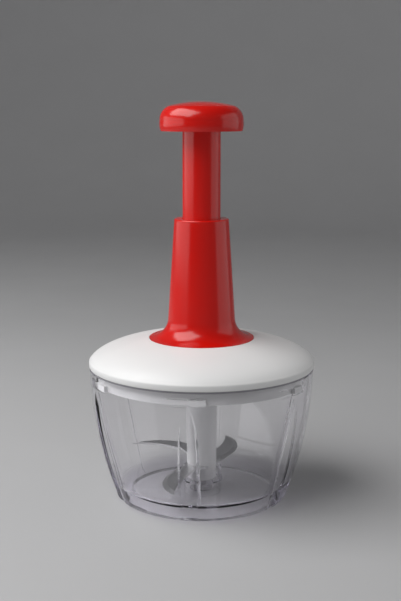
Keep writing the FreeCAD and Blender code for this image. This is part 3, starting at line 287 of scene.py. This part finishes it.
def new_object(name, build):
    """An object with a smooth mesh that build adds vertices and faces to."""
    mesh = bpy.data.meshes.new(name)
    shape = bmesh.new()
    build(shape)
    bmesh.ops.recalc_face_normals(shape, faces=shape.faces)
    shape.to_mesh(mesh)
    shape.free()
    mesh.shade_smooth()
    made = bpy.data.objects.new(name, mesh)
    bpy.context.scene.collection.objects.link(made)
    return made


def new_piece(name, build, finish, body, *nodes):
    """A piece that rides on a body, stands for CAD nodes and keeps its sharp edges."""
    piece = new_object(name, build)
    piece.data.set_sharp_from_angle(angle=math.radians(SMOOTH_ANGLE))
    dress(piece, finish)
    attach(piece, body)
    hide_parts(*nodes)
    return piece


def join_rings(shape, rings):
    """Faces between each ring of vertices and the next."""
    for first, second in zip(rings, rings[1:]):
        for index in range(len(first)):
            after = (index + 1) % len(first)
            shape.faces.new((first[index], first[after], second[after], second[index]))


def helix_spring(shape, mean_radius, wire, bottom, top, turns):
    """Round-wire spring whose first and last turns lie flat and closed."""
    steps_per_turn, sides = 40, 10
    closed, pitch = 1.0, 1.02  # turns at each end, and wires from one to the next
    low, high = bottom + wire / 2, top - wire / 2
    open_height = high - low - 2 * closed * wire * pitch
    rings = []
    for step in range(int(steps_per_turn * turns) + 1):
        turn = step / steps_per_turn
        share = min(max((turn - closed) / (turns - 2 * closed), 0.0), 1.0)
        first_rise = min(turn, closed) * wire * pitch
        last_rise = max(turn - (turns - closed), 0.0) * wire * pitch
        level = low + first_rise + open_height * share + last_rise
        angle = 2 * math.pi * turn
        out = Vector((math.cos(angle), math.sin(angle), 0.0))
        centre = out * mean_radius + Vector((0.0, 0.0, level))
        ring = []
        for side in range(sides):
            around = 2 * math.pi * side / sides
            offset = out * math.cos(around) + Vector((0.0, 0.0, math.sin(around)))
            ring.append(shape.verts.new(centre + offset * wire / 2))
        rings.append(ring)
    join_rings(shape, rings)
    shape.faces.new(rings[0])
    shape.faces.new(reversed(rings[-1]))


spring_low, spring_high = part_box("return_spring")


def return_spring(shape):
    """The coil fills the CAD spring's space, with a little air round it."""
    wire, clearance = 0.0012, 0.00005
    mean_radius = spring_high.x - wire / 2 - clearance
    helix_spring(shape, mean_radius, wire, spring_low.z, spring_high.z, turns=13.0)


spring = new_piece(
    "return_spring_coil", return_spring, "spring_steel", "lid_body", "return_spring")
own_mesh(spring)


def bezier(start, first, second, stop, steps):
    """Points of a cubic curve, without its start."""
    points = []
    for step in range(1, steps + 1):
        t = step / steps
        weights = ((1 - t) ** 3, 3 * t * (1 - t) ** 2, 3 * t * t * (1 - t), t ** 3)
        corners = list(zip(weights, (start, first, second, stop)))
        points.append(tuple(
            sum(weight * corner[axis] for weight, corner in corners) for axis in range(2)))
    return points


def lathe(shape, profile, sides=240):
    """Turn a closed (radius, height) profile round Z."""
    rings = []
    for side in range(sides):
        angle = 2 * math.pi * side / sides
        rings.append([
            shape.verts.new((radius * math.cos(angle), radius * math.sin(angle), height))
            for radius, height in profile])
    join_rings(shape, rings + rings[:1])


def lid_profile():
    """The dome falls in one even curve from the flange's seat to a crisp rim."""
    low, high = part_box("lid_cover")
    radius, bottom, crown = high.x, low.z, high.z
    hole, seat_edge = 0.0220, 0.0329
    seat = crown - 0.0008
    wall, corner = 0.0022, 0.0007
    rim_top = bottom + 0.0036
    handle = corner * 0.4
    shoulder = (radius - corner, rim_top + corner)
    upper_radius, upper_level = 0.0480, crown - 0.0018
    lower_radius, lower_level = 0.0650, crown - 0.0066
    inner_radius = radius - wall
    inner_rim = (inner_radius, rim_top - wall * 0.4)
    inner_lower_radius = 0.0645

    outside = [(hole, seat - wall), (hole, seat), (seat_edge, seat), (seat_edge, crown)]
    outside += bezier(
        (seat_edge, crown), (upper_radius, upper_level), (lower_radius, lower_level),
        shoulder, steps=26)
    outside += bezier(
        shoulder, (radius - corner * 0.3, rim_top + handle),
        (radius, rim_top), (radius, rim_top - corner), steps=5)
    outside += bezier(
        (radius, bottom + corner), (radius, bottom + handle),
        (radius - handle, bottom), (radius - corner, bottom), steps=5)
    inside = [(inner_radius, bottom), inner_rim]
    inside += bezier(
        inner_rim, (inner_lower_radius, lower_level - wall),
        (upper_radius, upper_level - wall), (seat_edge, crown - wall - 0.0002), steps=16)
    return outside + inside


new_piece(
    "lid_dome", lambda shape: lathe(shape, lid_profile()), "white_plastic", "lid_body",
    "lid_cover")


# Studio

def backdrop_profile():
    """A flat floor that curves up into a round wall, with every camera inside it."""
    floor_radii = (0.35, 0.8, 1.5)
    curve, steps = 1.1, 12
    wall_top = 3.2
    points = [(radius, 0.0) for radius in floor_radii]
    for step in range(1, steps + 1):
        angle = math.pi / 2 * step / steps
        points.append((
            floor_radii[-1] + curve * math.sin(angle), curve * (1 - math.cos(angle))))
    return points + [(floor_radii[-1] + curve, wall_top)]


def backdrop_shape(shape):
    """The floor lies a hair under the object."""
    sides, gap = 96, 0.0003
    rings = [
        [
            shape.verts.new((
                radius * math.cos(2 * math.pi * side / sides),
                radius * math.sin(2 * math.pi * side / sides), height - gap))
            for side in range(sides)]
        for radius, height in backdrop_profile()]
    shape.faces.new(rings[0])
    join_rings(shape, rings)


def softbox(name, place, target, width, height, power):
    """A rectangular lamp that the camera doesn't see."""
    data = bpy.data.lights.new(name, "AREA")
    data.shape = "RECTANGLE"
    data.size = width
    data.size_y = height
    data.energy = power
    lamp = bpy.data.objects.new(name, data)
    bpy.context.scene.collection.objects.link(lamp)
    lamp.location = place
    aim = Vector(target) - Vector(place)
    lamp.rotation_euler = aim.to_track_quat("-Z", "Y").to_euler()
    lamp.visible_camera = False


floor = new_object("studio_floor", backdrop_shape)
floor.data.materials.append(backdrop("studio_floor"))

softbox(
    "key_left", place=(-0.52, -0.20, 0.86), target=(0.0, 0.0, 0.10),
    width=1.10, height=0.70, power=10.0)
softbox(
    "low_left", place=(-0.86, -0.07, 0.28), target=(0.0, -0.07, 0.28),
    width=1.35, height=0.36, power=1.9)
softbox(
    "fill_right", place=(0.86, -0.02, 0.40), target=(0.0, -0.02, 0.40),
    width=1.00, height=0.80, power=1.6)

world = bpy.data.worlds.new("studio")
bpy.context.scene.world = world
world.use_nodes = True
background = world.node_tree.nodes["Background"]
background.inputs["Color"].default_value = (0.62, 0.62, 0.64, 1.0)
background.inputs["Strength"].default_value = 0.10

# The camera is fitted to the ellipses of the bowl, lid and knob in the photo.
camera_data = bpy.data.cameras.new("camera")
camera_data.sensor_width = 36.0
camera_data.lens = 65.31
camera_data.shift_x = -0.0018
camera_data.clip_start = 0.01
camera = bpy.data.objects.new("camera", camera_data)
bpy.context.scene.collection.objects.link(camera)
camera.location = (0.0, -0.6687, 0.2435)
camera.rotation_euler = (math.radians(79.943), 0.0, 0.0)
bpy.context.scene.camera = camera
bpy.context.scene.view_settings.view_transform = "Standard"
